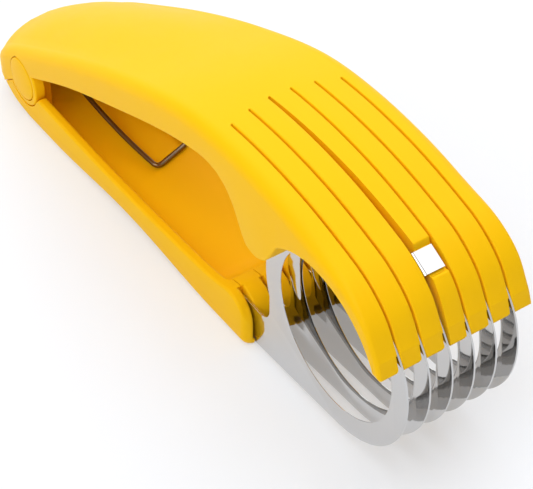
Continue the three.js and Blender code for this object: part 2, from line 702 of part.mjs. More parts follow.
function returnSpring() {
  const path = [...springHalf(-1), ...springHalf(1).reverse()];
  path.forEach((p) => p.setY(p.y + SPRING_SHIFT));
  console.log(`return spring: least gap to itself ${leastSelfGap(path).toFixed(2)} mm`);
  return tube(path, WIRE_RADIUS, WIRE_SIDES);
}

const rod = roundBar(ROD, ROD_DIAMETER / 2, ROD_BLIND_Y + GAP, FRONT_HALF_WIDTH - GAP, 20);
const pinEnd = HALF_WIDTH - CAP_DEPTH - GAP;
const pin = roundBar(HINGE, PIN_DIAMETER / 2, -pinEnd, pinEnd, 24);

addPiece('lower_handle', lowerHandle(), PLASTIC);
addPiece('upper_handle', upperHandle(), PLASTIC);
for (let i = 0; i < BLADE_COUNT; i += 1) addPiece(`ring_blade_${i + 1}`, blade(i), BLADE_STEEL);
addPiece('blade_rod', rod, BLADE_STEEL);
addPiece('hinge_pin', pin, BLADE_STEEL);
addPiece('hinge_cap_near', hingeCap(-1), PLASTIC);
addPiece('hinge_cap_far', hingeCap(1), PLASTIC);
addPiece('return_spring', returnSpring(), SPRING_STEEL);

const reach = new THREE.Box3().setFromObject(slicer);
slicer.position.x = -(reach.min.x + reach.max.x) / 2;

export default slicer;
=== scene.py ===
"""Looks of a squeeze-handle banana slicer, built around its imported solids."""

import json
import math
from contextlib import contextmanager

import bmesh
import bpy
import numpy as np
from mathutils import Matrix, Vector


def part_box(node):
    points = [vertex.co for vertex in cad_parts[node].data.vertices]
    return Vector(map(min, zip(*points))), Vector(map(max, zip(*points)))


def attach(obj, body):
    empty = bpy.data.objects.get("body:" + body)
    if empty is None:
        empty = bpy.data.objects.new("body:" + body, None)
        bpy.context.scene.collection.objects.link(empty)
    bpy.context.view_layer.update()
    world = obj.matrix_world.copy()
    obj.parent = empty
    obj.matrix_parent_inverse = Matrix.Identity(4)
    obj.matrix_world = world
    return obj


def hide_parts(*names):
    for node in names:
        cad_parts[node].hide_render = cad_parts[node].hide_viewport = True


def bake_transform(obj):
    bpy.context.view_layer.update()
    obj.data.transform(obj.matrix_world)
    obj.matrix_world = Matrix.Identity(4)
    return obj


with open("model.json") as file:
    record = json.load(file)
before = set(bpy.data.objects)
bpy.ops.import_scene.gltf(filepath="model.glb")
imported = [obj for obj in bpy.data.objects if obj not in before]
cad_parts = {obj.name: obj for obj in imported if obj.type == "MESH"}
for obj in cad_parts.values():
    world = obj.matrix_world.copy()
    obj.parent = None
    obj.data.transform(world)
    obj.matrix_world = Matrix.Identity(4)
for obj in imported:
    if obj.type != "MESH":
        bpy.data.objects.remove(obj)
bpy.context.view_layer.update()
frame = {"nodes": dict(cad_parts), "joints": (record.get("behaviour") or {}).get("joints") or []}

bl_info = {
    "name": "Banana slicer looks",
    "version": (1, 0, 0),
    "blender": (4, 5, 0),
    "location": "View3D > Sidebar > Slicer",
    "description": "Builds the handles, ring blades, hinge and spring of a banana slicer",
    "category": "Object",
}

# Sizes in millimetres; x runs forward from the hinge axis, y across, z up from the table.
HINGE_M = frame["joints"][0]["pos_m"]
HINGE_Z = HINGE_M[2] * 1000
GAP = 0.3  # between pieces that seat on each other


def middle_of(node):
    low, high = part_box(node)
    return (low + high) * 500


def size_of(node):
    low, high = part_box(node)
    return (high - low) * 1000


# Ring blades
BLADES = 6
PITCH = middle_of("ring_blade_2").y - middle_of("ring_blade_1").y
BLADE_T = size_of("ring_blade_1").y
OUTER_BLADE_Y = (BLADES - 1) / 2 * PITCH
RING = np.array([146.0, 32.0])
BORE_R, RING_R, ARCH_R = 22.0, 28.0, 24.4
EDGE_GRIND, SLOT_SETBACK = 0.5, 0.85
NECK_BACK, NOTCH_R = 26.5, 4.5
TANG_TOP, TANG_BOTTOM, TANG_BITE, HEEL_BITE = 13.0, 0.8, 6.8, 1.0
ROD_R = size_of("blade_rod").x / 2
TAB_BLADE, TAB_ANGLE = 2, 64.7
TAB_LENGTH, TAB_REACH, TAB_RISE, TAB_BEND, TAB_ROOT = 5.9, 5.7, 1.5, 0.9, 2.0
TAB_FRONT_GAP, STOP_RELIEF, POCKET_EDGE = 0.7, 1.1, 0.7

# Upper handle
WALL = 3.0
SLOT_W, SLOT_REAR, SLOT_BOW = 1.0, 46.3, 3.2
SLOT_SHOWN = 0.7  # the slot's width between its edges, before they are rounded
FINGER_Y = OUTER_BLADE_Y + SLOT_W / 2
HALF_W = FINGER_Y + 5.5
FINGER_DEPTH = 8.5
TIP_ANGLE, CREASE_ANGLE, LOBE_ANGLE, TIP_INSET = 26.5, 32.0, 130.0, 0.25
CREASE_BEND = 0.06  # half the length over which the crease turns
TIP_SIDE, TIP_FAR, FACE_FAR = 0.2, 0.3, 0.6  # rounding of a tip's lesser edges, as shares
NOSE_COVER, GRIP_RISE = 2.3, 51.8
CROWN, REAR_CROWN, MAX_LEAN = 0.8, 5.1, 2.2
CROWN_SETTLES, LEAN_STARTS, NOSE_STARTS = 0.473, 0.7, 0.966  # shares of the ring's reach
EDGE_R, NOSE_EDGE_R, LOWER_EDGE, REAR_EDGE = 4.0, 1.2, 0.6, 0.3
REAR_X, REAR_STRAIGHT, REAR_FULLNESS, REAR_TIP = -27.0, 9.5, 2.3, 0.4

# Lower handle
SLIT_W = BLADE_T + 2 * GAP
SLIT_EDGE, OUTER_SLIT_EDGE = 0.6, 1.1
LINE_HALF, LINE_BACK, LINE_DEPTH = 0.12, 1.5, 1.2  # the fine line that runs on behind a slit
FRONT_HALF_W = OUTER_BLADE_Y + SLIT_W / 2 + WALL
FRONT_REACH, FRONT_EDGE, FRONT_LIFT, FRONT_LAND, REAR_LAND = 113.3, 2.2, 1.2, 14.0, 15.0
RIM_Z, RIDGE_Z, NOSE_R = 11.3, 15.2, 7.8
RIDGE_BACK, RAMP = 10.0, 15.0
FLOOR_T, FLOOR_EDGE, FLOOR_END, SOLE_EDGE, SEAM_EDGE = 3.0, 4.0, 2.0, 3.0, 0.6
SOLE_ARCH, SOLE_LIFT, SOLE_LIFT_RUN, SOLE_LIFT_FROM, SOLE_LIFT_CURVE = 2.3, 9.0, 18.8, 2.0, 1.4

# Hinge and spring
KNUCKLE_R, GRIP_ANGLE, SEAM_ANGLE, SEAM_REACH, SEAM_GAP = 8.3, 34, 215.0, 14.6, 0.12
CAP_R = size_of("hinge_cap_near").x / 2
CAP_DEPTH, CAP_DOME, CAP_EDGE = 1.2, 0.6, 0.1
PIN_R, PIN_BEVEL = size_of("hinge_pin").x / 2, 0.3
EAR_R, EAR_WIDTH, EAR_SETBACK, EAR_EDGE = 4.0, 2.6, 1.6, 0.5
WIRE_R, WIRE_TIP, COIL_R, COIL_PITCH, COIL_TURNS = 0.75, 0.85, 3.9, 2.1, 3
LEG_OFFSET, TAIL_REACH, SPRING_SHIFT = 8.8, 19.0, 1.8
BAIL_REACH, BAIL_HALF, BAIL_SKEW, BAIL_BEND = 44.2, 6.6, 2.4, 2.5
LEG_SAG = 1.8  # how far a leg hangs below a straight line at its middle
TAILS_BEND = (1.0, 10.0)  # heights over the hinge axis, handed to finish_piece with the spring

CRISP_EDGE = 0.06  # rounding of an edge that looks sharp
PAST = 40.0  # how far a cutting tool runs past what it cuts
OVERLAP = 0.02  # how far two cuts that meet run into each other
WELD_M = 2e-6  # metres between points that are joined


# Outlines in the side view

def polar(centre, radius, degrees):
    a = math.radians(degrees)
    return np.array([centre[0] + radius * math.cos(a), centre[1] + radius * math.sin(a)])


def arc(centre, radius, start, end, steps):
    return [polar(centre, radius, a) for a in np.linspace(start, end, steps + 1)]


def unit(vector):
    return vector / np.linalg.norm(vector)


def mix(a, b, t):
    return a + (b - a) * t


def clamp(value):
    return min(1.0, max(0.0, value))


def smoothstep(x, low, high):
    t = clamp((x - low) / (high - low))
    return t * t * (3 - 2 * t)


def spline(points, per_mm):
    """A centripetal curve through the points, with evenly spaced samples."""
    p = np.array(points, float)
    p = np.vstack([2 * p[0] - p[1], p, 2 * p[-1] - p[-2]])
    out = []
    for i in range(1, len(p) - 2):
        span = [max(np.linalg.norm(p[i + k] - p[i + k - 1]) ** 0.5, 1e-4) for k in (0, 1, 2)]
        step = [(p[i + k] - p[i + k - 1]) / span[k] for k in (0, 1, 2)]
        over = [(p[i + k + 1] - p[i + k - 1]) / (span[k] + span[k + 1]) for k in (0, 1)]
        into = (step[0] - over[0] + step[1]) * span[1]
        away = (step[1] - over[1] + step[2]) * span[1]
        for t in np.linspace(0, 1, 60, endpoint=False):
            ends = (2 * t ** 3 - 3 * t ** 2 + 1) * p[i] + (3 * t ** 2 - 2 * t ** 3) * p[i + 1]
            out.append(ends + (t ** 3 - 2 * t ** 2 + t) * into + (t ** 3 - t ** 2) * away)
    out = np.array(out + [p[-2]])
    run = np.r_[0, np.cumsum(np.linalg.norm(np.diff(out, axis=0), axis=1))]
    even = np.linspace(0, run[-1], max(2, int(run[-1] * per_mm)) + 1)
    return np.stack([np.interp(even, run, out[:, k]) for k in (0, 1)], 1)


def fillet(before, corner, after, radius, steps=6):
    """The points of a round in place of a corner."""
    before, corner, after = (np.asarray(p, float) for p in (before, corner, after))
    u, v = unit(before - corner), unit(after - corner)
    half = math.acos(np.clip(u @ v, -1, 1)) / 2
    centre = corner + unit(u + v) * radius / math.sin(half)
    reach = radius / math.tan(half)
    start, end, turn = corner + u * reach - centre, corner + v * reach - centre, math.pi - 2 * half
    return [centre + (math.sin((1 - t) * turn) * start + math.sin(t * turn) * end) / math.sin(turn)
            for t in np.linspace(0, 1, steps + 1)]


def along_grip(reach, rise):
    return np.array([RING[0] * reach, HINGE_Z + GRIP_RISE * rise])


def over_ring(cover, degrees):
    return polar(RING, RING_R + NOSE_COVER * cover, degrees)


def behind_ring(back, rise):
    return RING + RING_R * np.array([-back, rise])


def blade_y(index):
    return (index - (BLADES - 1) / 2) * PITCH


HINGE = np.array([0.0, HINGE_Z])
CREASE = over_ring(-0.22, CREASE_ANGLE)
TIP_FRONT = over_ring(-0.39, TIP_ANGLE - 3.5)
TIP_INNER = polar(RING, ARCH_R, TIP_ANGLE)
SEAM_END = polar(HINGE, SEAM_REACH, SEAM_ANGLE)
ROD = np.array([FRONT_REACH - TANG_BITE / 2, (TANG_TOP + TANG_BOTTOM) / 2])
NOSE = np.array([FRONT_REACH - NOSE_R, RIDGE_Z - NOSE_R])


def top_line():
    """Side view of the top edges, from the rear end to the finger tips."""
    shaped = spline([
        (REAR_X, HINGE_Z - 0.126 * GRIP_RISE), along_grip(-0.0685, 0.094), along_grip(0.062, 0.295),
        along_grip(0.233, 0.541), along_grip(0.411, 0.761), along_grip(0.616, 0.956),
        along_grip(0.753, 1), over_ring(3.7, 114), over_ring(1, 87), over_ring(0.61, 68),
        over_ring(0.3, 50), CREASE], 1.0)
    return np.vstack([shaped, [TIP_FRONT], [polar(RING, RING_R, TIP_ANGLE - 14)]])


TOP = top_line()


def top_at(x):
    return np.interp(x, TOP[:, 0], TOP[:, 1])


# Meshes

def to_row(points):
    """Millimetres from the hinge axis to metres in the row frame."""
    p = np.asarray(points, float) / 1000
    p[:, 0] += HINGE_M[0]
    return p


@contextmanager
def editing(mesh):
    """Opens a mesh for changes and writes them back."""
    bm = bmesh.new()
    bm.from_mesh(mesh)
    yield bm
    bm.to_mesh(mesh)
    bm.free()


def new_object(name, verts, faces):
    mesh = bpy.data.meshes.new(name)
    mesh.from_pydata([tuple(v) for v in to_row(verts)], [], faces)
    piece = bpy.data.objects.new(name, mesh)
    bpy.context.scene.collection.objects.link(piece)
    with editing(mesh) as bm:
        bmesh.ops.recalc_face_normals(bm, faces=bm.faces)
        bmesh.ops.triangulate(bm, faces=[f for f in bm.faces if len(f.verts) > 4])
    return piece


def loft(name, sections, closed=False):
    """A skin through rings of equal size; capped at both ends unless it closes on itself."""
    count, size = len(sections), len(sections[0])
    faces = []
    for s in range(count if closed else count - 1):
        a, b = s * size, ((s + 1) % count) * size
        faces += [(a + i, a + (i + 1) % size, b + (i + 1) % size, b + i) for i in range(size)]
    if not closed:
        last = (count - 1) * size
        faces += [tuple(range(size - 1, -1, -1)), tuple(range(last, last + size))]
    return new_object(name, np.vstack(sections), faces)


def turned(name, centre, profile, sides):
    """A closed profile of (radius, y) turned about an axis along y."""
    rings = []
    for a in np.linspace(0, 2 * math.pi, sides, endpoint=False):
        x, z = math.cos(a), math.sin(a)
        rings.append(np.array([(centre[0] + r * x, y, centre[1] + r * z) for r, y in profile]))
    return loft(name, rings, closed=True)


def both_sides(x, right):
    """A section at x from its right half of (y, z), mirrored to the left."""
    ring = right + [(-y, z) for y, z in reversed(right)]
    return np.array([(x, y, z) for y, z in ring])


def inset(outline, amount):
    """The closed outline moved to its left by amount, corner by corner."""
    p = np.asarray(outline, float)
    before, after = p - np.roll(p, 1, 0), np.roll(p, -1, 0) - p
    before /= np.linalg.norm(before, axis=1)[:, None]
    after /= np.linalg.norm(after, axis=1)[:, None]
    side = np.stack([-(before + after)[:, 1], (before + after)[:, 0]], 1)
    side /= np.maximum(np.linalg.norm(side, axis=1)[:, None], 1e-9)
    left = np.stack([-before[:, 1], before[:, 0]], 1)
    stretch = np.clip(np.sum(side * left, 1), 0.5, 1)
    return p + side * (amount / stretch)[:, None]


def slab(name, outline, low, high, rounding=0.0):
    """A side outline carried across from low to high, its end edges rounded."""
    p = np.asarray(outline, float)
    if np.sum(p[:, 0] * np.roll(p[:, 1], -1) - np.roll(p[:, 0], -1) * p[:, 1]) < 0:
        p = p[::-1]
    levels = [(low, 0.0), (high, 0.0)]
    if rounding:
        bend = np.radians(np.linspace(0, 90, 6))
        ends = [(rounding * (1 - math.cos(b)), rounding * (1 - math.sin(b))) for b in bend]
        levels = [(low + y, d) for y, d in ends] + [(high - y, d) for y, d in reversed(ends)]
    rings = []
    for y, depth in levels:
        q = inset(p, depth) if depth else p
        rings.append(np.stack([q[:, 0], np.full(len(q), y), q[:, 1]], 1))
    return loft(name, rings)


def bar(name, centre, radius, low, high, sides=64):
    return slab(name, arc(centre, radius, 0, 360 - 360 / sides, sides - 1), low, high)


def block(name, low, high):
    (x0, y0, z0), (x1, y1, z1) = low, high
    return slab(name, [(x0, z0), (x1, z0), (x1, z1), (x0, z1)], y0, y1)


def groove(name, path, y, half, low, high):
    """Rounds a slot's two edges by low and high along a side path, outside on its left."""
    p = np.asarray(path, float)
    run = np.gradient(p, axis=0)
    out = np.stack([-run[:, 1], run[:, 0]], 1)
    out /= np.linalg.norm(out, axis=1)[:, None]
    bend = np.radians(np.linspace(0, 90, 7))

    def side(radius):
        """From above the surface, round the edge and down to the slot's wall."""
        above, skin = 1.5, 0.005
        lip = [(half + radius, above), (half + radius, skin)]
        rounded = [(half + radius * (1 - math.sin(b)), radius * (math.cos(b) - 1)) for b in bend]
        return lip + rounded + [(half - OVERLAP, -radius - OVERLAP)]

    section = [(-w, d) for w, d in side(low)] + side(high)[::-1]
    rings = []
    for q, n in zip(p, out):
        rings.append(np.array([(q[0] + n[0] * d, y + w, q[1] + n[1] * d) for w, d in section]))
    return loft(name, rings)


def apply_modifiers(piece):
    """Gives a piece the mesh that its modifiers make."""
    bpy.context.view_layer.update()
    shaped = piece.evaluated_get(bpy.context.evaluated_depsgraph_get())
    result = bpy.data.meshes.new_from_object(shaped)
    piece.modifiers.clear()
    old, piece.data = piece.data, result
    bpy.data.meshes.remove(old)


def cut(body, *tools, operation="DIFFERENCE"):
    """Applies tools to body one after the other and removes them."""
    for tool in tools:
        change = body.modifiers.new("cut", "BOOLEAN")
        change.operation = operation
        change.solver = "MANIFOLD"
        change.object = tool
        apply_modifiers(body)
        if not body.data.polygons:
            raise RuntimeError(f"cutting {body.name} with {tool.name} left nothing")
        shape = tool.data
        bpy.data.objects.remove(tool)
        bpy.data.meshes.remove(shape)
    return body


def finish_piece(piece, slot, body, *nodes, sharp=32, bends_from=None, bends_to=None):
    """Cleans the mesh, gives it its material and ties it to the frame; a piece given bends_from is
    left where it stands instead.
    """
    mesh = piece.data
    with editing(mesh) as bm:
        bmesh.ops.remove_doubles(bm, verts=bm.verts, dist=WELD_M)
        bmesh.ops.dissolve_degenerate(bm, edges=bm.edges, dist=WELD_M / 2)
    mesh.materials.clear()
    mesh.materials.append(material(slot))
    mesh.polygons.foreach_set("use_smooth", [True] * len(mesh.polygons))
    mesh.set_sharp_from_angle(angle=math.radians(sharp))
    mesh.name = piece.name
    if bends_from:
        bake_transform(piece)
    else:
        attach(piece, body)
    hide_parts(*nodes)


# Materials

class Field:
    """A value in a node tree; arithmetic on it adds Math nodes."""

    def __init__(self, tree, socket):
        self.tree, self.socket = tree, socket

    def _math(self, operation, *values):
        return self.tree.node("ShaderNodeMath", {"operation": operation}, dict(enumerate(values)))

    def __add__(self, other):
        return self._math("ADD", self, other)

    def __sub__(self, other):
        return self._math("SUBTRACT", self, other)

    def __rsub__(self, other):
        return self._math("SUBTRACT", other, self)

    def __mul__(self, other):
        return self._math("MULTIPLY", self, other)

    __radd__, __rmul__ = __add__, __mul__

    def larger(self, other):
        return self._math("MAXIMUM", self, other)

    def ramp(self, low, high):
        """Nought up to low, one from high on, and even between them."""
        return self.tree.node("ShaderNodeMapRange", {}, {
            "Value": self, "From Min": low, "From Max": high})

    def around(self, middle, spread):
        """The value laid about its middle, from half the spread below it to half above."""
        return self * spread + (middle - spread / 2)


class Tree:
    """Adds nodes to a shader tree."""

    def __init__(self, owner):
        owner.use_nodes = True
        self.owner, self.tree = owner, owner.node_tree
        self.tree.nodes.clear()

    def put(self, socket, value):
        if isinstance(value, Field):
            self.tree.links.new(value.socket, socket)
        else:
            socket.default_value = value

    def node(self, kind, settings, values, output=0):
        made = self.tree.nodes.new(kind)
        for key, value in settings.items():
            setattr(made, key, value)
        for key, value in values.items():
            self.put(made.inputs[key], value)
        return Field(self, made.outputs[output] if made.outputs else None)

    def noise(self, scale, detail=2.0, stretch=(1, 1, 1)):
        where = self.node("ShaderNodeTexCoord", {}, {}, "Object")
        place = self.node("ShaderNodeMapping", {}, {"Vector": where, "Scale": stretch})
        return self.node("ShaderNodeTexNoise", {}, {
            "Vector": place, "Scale": scale, "Detail": detail})

    def blend(self, share, first, second):
        return self.node("ShaderNodeMix", {"data_type": "RGBA"}, {
            "Factor": share, "A": (*first, 1), "B": (*second, 1)}, "Result")

    def bump(self, height, strength, distance):
        return self.node("ShaderNodeBump", {}, {
            "Height": height, "Strength": strength, "Distance": distance})

    def height(self):
        """How far up a ray from the world comes: nought at the horizon, one overhead."""
        where = self.node("ShaderNodeTexCoord", {}, {}, "Object")
        return self.node("ShaderNodeSeparateXYZ", {}, {"Vector": where}, "Z").larger(0.0)

    def distance(self):
        """Metres from the object's origin."""
        where = self.node("ShaderNodeTexCoord", {}, {}, "Object")
        return self.node("ShaderNodeVectorMath", {"operation": "LENGTH"}, {0: where}, "Value")

    def seen_white(self):
        """One where a camera, glossy or transmission ray looks, and nought for light."""
        path = ("Is Camera Ray", "Is Glossy Ray", "Is Transmission Ray")
        camera, glossy, through = (self.node("ShaderNodeLightPath", {}, {}, name) for name in path)
        return camera.larger(glossy).larger(through)

    def surface(self, shader, kind="ShaderNodeOutputMaterial"):
        self.node(kind, {}, {"Surface": shader})
        return self.owner


def moulded_plastic(make, look):
    """Satin moulded plastic: a faint drift of colour, fine surface grain and uneven gloss."""
    base = Vector(look.plastic)
    deep = Vector((base.x, base.y * 0.96, base.z * 0.7))
    gloss = make.noise(scale=140.0, detail=3.0)
    grain = make.noise(scale=2600.0)
    return make.surface(make.node("ShaderNodeBsdfPrincipled", {}, {
        "Base Color": make.blend(make.noise(scale=28.0), base, deep),
        "Roughness": gloss.around(look.plastic_roughness, spread=0.10),
        "Normal": make.bump(grain, strength=0.12, distance=0.00004),
        "Specular IOR Level": 0.07}))


def polished_steel(make, look):
    """Polished sheet steel with faint grinding lines along it."""
    base = Vector(look.steel)
    lines = make.noise(scale=700.0, detail=3.0, stretch=(1, 1, 0.05))
    return make.surface(make.node("ShaderNodeBsdfPrincipled", {}, {
        "Base Color": make.blend(make.noise(scale=60.0), base, base * 0.95),
        "Metallic": 1.0,
        "Roughness": lines.around(look.steel_roughness, spread=0.03),
        "Normal": make.bump(lines, strength=0.02, distance=0.00001)}))


def drawn_wire(make, look):
    """Drawn spring wire: dark steel with faint draw marks; its brown is a painted reflection of the
    trough.
    """
    base = Vector(look.wire)
    marks = make.noise(scale=1500.0, detail=3.0, stretch=(0.1, 1, 1))
    return make.surface(make.node("ShaderNodeBsdfPrincipled", {}, {
        "Base Color": make.blend(marks, base, base * 0.7),
        "Metallic": 1.0,
        "Roughness": marks.around(0.295, spread=0.15)}))


def looks():
    return bpy.context.scene.slicer_looks


MAKERS = {
    "yellow_plastic": ("Moulded yellow plastic", moulded_plastic),
    "blade_steel": ("Polished blade steel", polished_steel),
    "spring_wire": ("Drawn spring wire", drawn_wire),
}


def material(slot):
    name, maker = MAKERS[slot]
    return bpy.data.materials.get(name) or maker(Tree(bpy.data.materials.new(name)), looks())


# Upper handle

def half_width_at(x, full, rear):
    """Half width of the handles: full along the grip, rounded off behind the hinge."""
    if x >= -REAR_STRAIGHT:
        return full
    share = min(1.0, (x + REAR_STRAIGHT) / (rear + REAR_STRAIGHT))
    return max(REAR_TIP, full * (1 - share ** REAR_FULLNESS) ** (1 / REAR_FULLNESS))


def edge_radius_at(x):
    return mix(EDGE_R, NOSE_EDGE_R, smoothstep(x, RING[0] * NOSE_STARTS, RING[0] + BORE_R))


def dome_at(x, y):
    """Height of the domed top over its edges."""
    share = min(1.0, abs(y) / (HALF_W - edge_radius_at(x)))
    return mix(REAR_CROWN, CROWN, smoothstep(x, 0, RING[0] * CROWN_SETTLES)) * (1 - share ** 2)


def lean_at(x):
    """How much further the rounded top edges run down where the fingers are steep."""
    if x < RING[0] * LEAN_STARTS:
        return 1.0
    step = 0.4
    return min(MAX_LEAN, math.hypot(1, (top_at(x + step) - top_at(x - step)) / (2 * step)))


CROWN_STATIONS = (0.86, 0.72, 0.58, 0.44, 0.3, 0.15)  # shares of the top's half width
FOOT_POINTS, FOOT_STEP = 6, 0.1  # the lower edge, or points far below what is kept


def upper_skin(name, depth, x_high, rear_round):
    """The outer or inner skin, moved in by depth; rear_round rounds its edge behind the seam."""
    rear = REAR_X + depth
    xs = [rear + (EDGE_R - depth) * (1 - math.cos(t)) for t in np.radians(np.linspace(3, 90, 16))]
    xs += list(np.linspace(xs[-1], -REAR_STRAIGHT, 16)[1:])
    first, last = 0.7 - REAR_STRAIGHT, x_high - 0.2  # keeps the stations apart
    xs += [x for x in TOP[:, 0] if first < x < last] + [x_high]
    if x_high > CREASE[0]:
        xs = sorted(xs + [CREASE[0] - CREASE_BEND, CREASE[0] + CREASE_BEND])
    rings = []
    for x in xs:
        radius, top = edge_radius_at(x) - depth, top_at(x) - depth
        sweep = math.acos(1 - (x - rear) / radius) if x < rear + radius else math.pi / 2
        edge = []
        for a in np.linspace(0, sweep, 13):
            inward = radius * (1 - math.cos(a))
            y = half_width_at(x, HALF_W - depth - inward, rear + inward)
            edge.append((y, top - radius * lean_at(x) * (1 - math.sin(a)) + dome_at(x, y)))
        side = edge[0][0]
        foot = [(side, -PAST + FOOT_STEP * k) for k in range(FOOT_POINTS)]
        if rear_round and x < SEAM_END[0] - 0.5:
            r = min(rear_round, side * 0.8)
            foot = [(side - r + r * math.cos(a), SEAM_END[1] + r + r * math.sin(a))
                    for a in np.radians(np.linspace(-90, 0, FOOT_POINTS))]
        flat, shoulder = edge[-1]
        crown = [(flat * s, shoulder - dome_at(x, flat) + dome_at(x, flat * s))
                 for s in CROWN_STATIONS]
        rings.append(both_sides(x, foot + edge + crown))
    return loft(name, rings)


def upper_outline(tip_round):
    """Everything above the lower edge of the upper handle, seen from the side."""
    grip = spline([
        polar(HINGE, KNUCKLE_R, GRIP_ANGLE), along_grip(0.198, 0.305), along_grip(0.39, 0.531),
        along_grip(0.555, 0.7085), behind_ring(1.786, 0.839), behind_ring(1.607, 0.864),
        behind_ring(1.443, 0.843)], 0.5)
    lobe = spline([
        grip[-1], behind_ring(1.318, 0.779), behind_ring(1.211, 0.668), behind_ring(1.068, 0.425),
        behind_ring(1.004, 0.354), behind_ring(0.896, 0.329), behind_ring(0.811, 0.346),
        behind_ring(0.736, 0.386), behind_ring(0.671, 0.471), polar(RING, ARCH_R, LOBE_ANGLE)], 1.2)
    arch = arc(RING, ARCH_R, TIP_ANGLE + 2, LOBE_ANGLE, 60)
    front = fillet(CREASE, TIP_FRONT, TIP_INNER, tip_round * TIP_SIDE)
    inner = fillet(TIP_FRONT, TIP_INNER, arch[0], tip_round * TIP_SIDE)
    rise, clear_by = unit(CREASE - TIP_FRONT), 3
    lead = front[0] + clear_by * (rise + np.array([rise[1], -rise[0]]))
    below_seam = SEAM_END - np.array([1.5, 1.0])
    ceiling, ahead, behind, under = 120.0, 220.0, REAR_X - 1, SEAM_END[1] - 1
    return [
        SEAM_END, below_seam, (behind, under), (behind, ceiling), (ahead, ceiling),
        (ahead, lead[1]), lead, *front, *inner, *arch, *lobe[::-1][1:], *grip[::-1][1:],
        *arc(HINGE, KNUCKLE_R, GRIP_ANGLE, SEAM_ANGLE - 360, 48)[1:]]


def under_fingers():
    """The space under the inner fingers, between the two outer ones."""
    slots = RING[0] - SLOT_REAR
    rear, bottom, clear = slots - FINGER_DEPTH, RING[1] - BORE_R, ARCH_R - 2 * OVERLAP
    deep = [(x, top_at(x) - FINGER_DEPTH) for x in (slots + 4.2, RING[0] - RING_R * 0.9)]
    start, end = (rear, top_at(rear) - FINGER_DEPTH * 0.6), polar(RING, clear, LOBE_ANGLE - 5)
    arch = arc(RING, clear, LOBE_ANGLE - 8, TIP_ANGLE, 50)
    outline = [(rear, bottom), *spline([start, *deep, end], 0.5), *arch, (RING[0] + RING_R, bottom)]
    return slab("under_fingers", outline, -FINGER_Y, FINGER_Y)


SLOT_END_STATIONS = (0.999, 0.97, 0.9, 0.8, 0.68, 0.55, 0.4, 0.2)  # shares of a slot's round end


def slot_tool(y, near, far):
    """A slot through the top with a round rear end; its two edges are rounded by near and far."""
    half = SLOT_SHOWN / 2
    centre = RING[0] - SLOT_REAR + SLOT_BOW * (y / OUTER_BLADE_Y) ** 2 + SLOT_W / 2
    xs = [centre - (half + far) * share for share in SLOT_END_STATIONS]
    xs += [x for x in TOP[:, 0] if x > centre + 0.2] + [RING[0] + RING_R + 2]

    def edge(x, flare):
        """One side of the section at x, from above the top down to the slot's foot."""
        behind, deepest = max(0.0, centre - x), 1.0
        if behind > half:
            level = clamp((half + flare - behind) / flare)
            deepest = max(0.02, 1 - math.sqrt(max(0.0, 1 - (level - 1) ** 2)))
        top, lean = top_at(x) + dome_at(x, y), lean_at(x)
        side = []
        for d in np.linspace(0, deepest, 6):
            wide = half + flare - flare * math.sqrt(max(0.0, 1 - (1 - d) ** 2))
            side.append((math.sqrt(max(1e-4, wide ** 2 - behind ** 2)), top - d * flare * lean))
        wide, low = side[-1]
        below, above = 5.0, top + 3
        foot = (wide, below) if behind <= half else (wide * 0.5, low - OVERLAP / 2)
        return [(side[0][0], above)] + side + [foot]

    rings = []
    for x in xs:
        section = edge(x, far) + [(-w, z) for w, z in reversed(edge(x, near))]
        rings.append(np.array([(x, y + w, z) for w, z in section]))
    return loft("slot", rings)


def tab_place(along, radius):
    """A point beside the stop tab: along it towards the rear, and out from the ring's centre."""
    back = math.radians(TAB_ANGLE + 90)
    return polar(RING, radius, TAB_ANGLE) + along * np.array([math.cos(back), math.sin(back)])


def finger_top_over(along):
    """Distance of the middle finger's top from the ring's centre line, beside the stop tab."""
    low, high = RING_R, RING_R + 8
    for _ in range(40):
        middle = (low + high) / 2
        x, z = tab_place(along, middle)
        low, high = (middle, high) if z < top_at(x) + dome_at(x, 0) else (low, middle)
    return low


def tab_pocket(rounding):
    """Room for the stop tab, with its front and rear edges rounded."""
    floor = RING_R + TAB_RISE - BLADE_T - GAP
    rear, front = TAB_LENGTH / 2 + GAP, -TAB_LENGTH / 2 - TAB_FRONT_GAP
    slope = 1.0
    for _ in range(8):
        slope = finger_top_over(rear + slope) - floor

    def on_top(along):
        return np.array([along, finger_top_over(along)])

    rear_edge, front_edge = np.array([rear + slope, floor + slope]), on_top(front)
    beyond = 2  # how far from an edge the top's direction is read
    rear_round = fillet((rear, floor), rear_edge, on_top(rear_edge[0] + beyond), rounding)
    front_round = fillet(on_top(front - beyond), front_edge, (front, floor), rounding)
    above = [rear_round[-1] + np.array([1.0, 1.5]),
             np.array([front - 2 * rounding, front_edge[1] + 3])]
    outline = [(rear, floor), *rear_round, *above, *front_round, (front, floor)]
    y = blade_y(TAB_BLADE)
    return slab("pocket", [tab_place(*p) for p in outline], y, y + PITCH)


def tab_relief():
    """The slot beside the tab opens out towards the tab and closes again at the tip."""
    y = blade_y(TAB_BLADE)
    edge, tab_x = y + SLOT_W / 2, RING[0] + RING_R * math.cos(math.radians(TAB_ANGLE))
    rear, ahead = RING[0] - SLOT_REAR, RING[0] + RING_R + 1
    outline = [(rear, y), (ahead, y), (ahead, edge + TIP_INSET), (tab_x, edge + STOP_RELIEF),
               (rear, edge)]
    levels = (RING[1], RING[1] + PAST)
    return loft("relief", [np.array([(x, side, z) for x, side in outline]) for z in levels])


